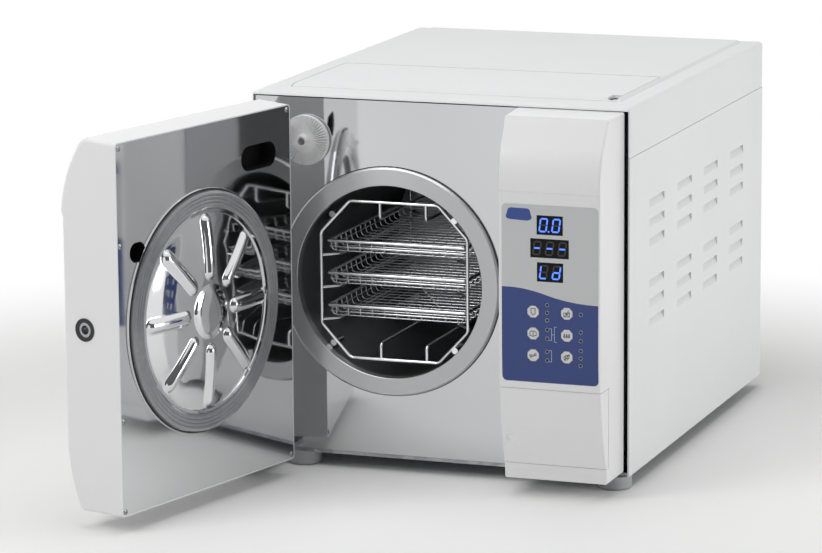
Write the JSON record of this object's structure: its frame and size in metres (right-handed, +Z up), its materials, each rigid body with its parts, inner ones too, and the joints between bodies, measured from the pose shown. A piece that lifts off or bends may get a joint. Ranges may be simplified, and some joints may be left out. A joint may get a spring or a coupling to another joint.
{
  "type": "autoclave",
  "caption": "Bench-top steam steriliser with a side-hinged pressure door, sliding trays on a wire rack, a key panel, a service cover and a lidded water tank.",
  "frame": {"origin": "on the bench, under the middle of the whole object as it stands with its door open", "axes": "+Z up, the front faces -Y, +X to the right as seen from the front"},
  "size_m": [0.5876, 1.0272, 0.481],
  "materials": {
    "painted_steel": "satin white powder coat",
    "white_moulding": "semi-gloss white moulding",
    "polished_steel": "polished stainless sheet",
    "machined_steel": "machined stainless",
    "pressed_steel": "pressed stainless, satin",
    "wire_steel": "electropolished wire",
    "tray_steel": "electropolished sheet",
    "galvanised_steel": "galvanised sheet",
    "silicone": "matt grey silicone",
    "black_rubber": "matt rubber",
    "grey_plastic": "matt grey moulding",
    "black_plastic": "black moulding",
    "key_plastic": "satin key caps",
    "printed_film": "printed polyester film",
    "dark_window": "dark display window",
    "lamp_plastic": "clear light pipe",
    "board_laminate": "green circuit board",
    "bronze": "sintered bronze",
    "brass": "turned brass",
    "tap_plastic": "blue handle",
    "felt": "needled felt",
    "tank_plastic": "natural polypropylene"
  },
  "bodies": {
    "housing": {"base_pan": "galvanised_steel", "feet": "grey_plastic", "left_side_panel": "painted_steel", "right_side_panel": "painted_steel", "rear_panel": "galvanised_steel", "top_cover": "painted_steel", "hinge_pins": "machined_steel", "front_panel": "polished_steel", "chamber": "pressed_steel", "chamber_flange": "machined_steel", "heater_band": "black_plastic", "insulation": "felt", "fascia_housing": "white_moulding", "service_bay": "white_moulding", "drain_couplings": "brass", "control_overlay": "printed_film", "display_windows": "dark_window", "status_leds": "lamp_plastic", "switch_board": "board_laminate", "lock_motor": "grey_plastic", "filter_socket": "grey_plastic", "hinge_post": "machined_steel", "water_reservoir": "tank_plastic", "steam_generator": "galvanised_steel", "water_pump": "black_plastic", "vacuum_pump": "black_plastic", "condenser": "galvanised_steel", "valve_block": "galvanised_steel", "control_board": "board_laminate", "fan_frame": "black_plastic", "fan_guard": "wire_steel", "power_inlet": "black_plastic", "drain_spigots": "brass"},
    "door": {"door_shell": "white_moulding", "door_plate": "polished_steel", "door_screws": "machined_steel", "door_disc": "pressed_steel", "door_gasket": "silicone", "hinge_bushes": "bronze", "door_frame": "galvanised_steel", "catch_cup": "machined_steel", "catch_ring": "black_rubber"},
    "tank_lid_body": {"tank_lid": "white_moulding"},
    "service_door": {"service_cover": "white_moulding"},
    "filter": {"air_filter": "white_moulding"},
    "left_tap": {"drain_tap_left": "tap_plastic"},
    "right_tap": {"drain_tap_right": "tap_plastic"},
    "bolt": {"lock_bolt": "machined_steel"},
    "rack": {"tray_rack": "wire_steel"},
    "fan": {"fan_rotor": "black_plastic"},
    "rocker": {"power_switch": "black_plastic"},
    "key_body_1": {"key_1": "key_plastic"},
    "key_body_2": {"key_2": "key_plastic"},
    "key_body_3": {"key_3": "key_plastic"},
    "key_body_4": {"key_4": "key_plastic"},
    "key_body_5": {"key_5": "key_plastic"},
    "key_body_6": {"key_6": "key_plastic"},
    "tray_body_1": {"tray_1": "tray_steel"},
    "tray_body_2": {"tray_2": "tray_steel"},
    "tray_body_3": {"tray_3": "tray_steel"}
  },
  "joints": [
    {"name": "door_hinge", "type": "hinge", "parent": "housing", "child": "door", "pos_m": [-0.184, -0.1745, 0.24], "axis": [0, 0, -1], "range_deg": [-103.9, 6]},
    {"name": "tank_lid_hinge", "type": "hinge", "parent": "housing", "child": "tank_lid_body", "pos_m": [0.0455, 0.1269, 0.479], "axis": [-1, 0, 0], "range_deg": [0, 95]},
    {"name": "service_cover_hinge", "type": "hinge", "parent": "housing", "child": "service_door", "pos_m": [0.282, -0.176, 0.092], "axis": [0, 0, 1], "range_deg": [0, 100]},
    {"name": "filter_turn", "type": "hinge", "parent": "housing", "child": "filter", "pos_m": [-0.131, -0.11, 0.419], "axis": [0, -1, 0], "continuous": true},
    {"name": "left_tap_turn", "type": "hinge", "parent": "housing", "child": "left_tap", "pos_m": [0.189, -0.1208, 0.068], "axis": [0, -1, 0], "range_deg": [0, 90]},
    {"name": "right_tap_turn", "type": "hinge", "parent": "housing", "child": "right_tap", "pos_m": [0.243, -0.1208, 0.068], "axis": [0, -1, 0], "range_deg": [0, 90]},
    {"name": "lock_bolt_slide", "type": "slide", "parent": "housing", "child": "bolt", "axis": [-1, 0, 0], "range_m": [0, 0.008]},
    {"name": "rack_slide", "type": "slide", "parent": "housing", "child": "rack", "axis": [0, -1, 0], "range_m": [0, 0.3]},
    {"name": "tray_slide_1", "type": "slide", "parent": "rack", "child": "tray_body_1", "axis": [0, -1, 0], "range_m": [0, 0.28]},
    {"name": "tray_slide_2", "type": "slide", "parent": "rack", "child": "tray_body_2", "axis": [0, -1, 0], "range_m": [0, 0.28]},
    {"name": "tray_slide_3", "type": "slide", "parent": "rack", "child": "tray_body_3", "axis": [0, -1, 0], "range_m": [0, 0.28]},
    {"name": "key_press_1", "type": "slide", "parent": "housing", "child": "key_body_1", "axis": [0, 1, 0], "range_m": [0, 0.0006], "stiffness_N_per_m": 800, "springref_m": -0.0003},
    {"name": "key_press_2", "type": "slide", "parent": "housing", "child": "key_body_2", "axis": [0, 1, 0], "range_m": [0, 0.0006], "stiffness_N_per_m": 800, "springref_m": -0.0003},
    {"name": "key_press_3", "type": "slide", "parent": "housing", "child": "key_body_3", "axis": [0, 1, 0], "range_m": [0, 0.0006], "stiffness_N_per_m": 800, "springref_m": -0.0003},
    {"name": "key_press_4", "type": "slide", "parent": "housing", "child": "key_body_4", "axis": [0, 1, 0], "range_m": [0, 0.0006], "stiffness_N_per_m": 800, "springref_m": -0.0003},
    {"name": "key_press_5", "type": "slide", "parent": "housing", "child": "key_body_5", "axis": [0, 1, 0], "range_m": [0, 0.0006], "stiffness_N_per_m": 800, "springref_m": -0.0003},
    {"name": "key_press_6", "type": "slide", "parent": "housing", "child": "key_body_6", "axis": [0, 1, 0], "range_m": [0, 0.0006], "stiffness_N_per_m": 800, "springref_m": -0.0003},
    {"name": "fan_spin", "type": "hinge", "parent": "housing", "child": "fan", "pos_m": [0.174, 0.4887, 0.17], "axis": [0, -1, 0], "continuous": true},
    {"name": "switch_rock", "type": "hinge", "parent": "housing", "child": "rocker", "pos_m": [-0.146, 0.5037, 0.11], "axis": [-1, 0, 0], "range_deg": [0, 16]}
  ]
}
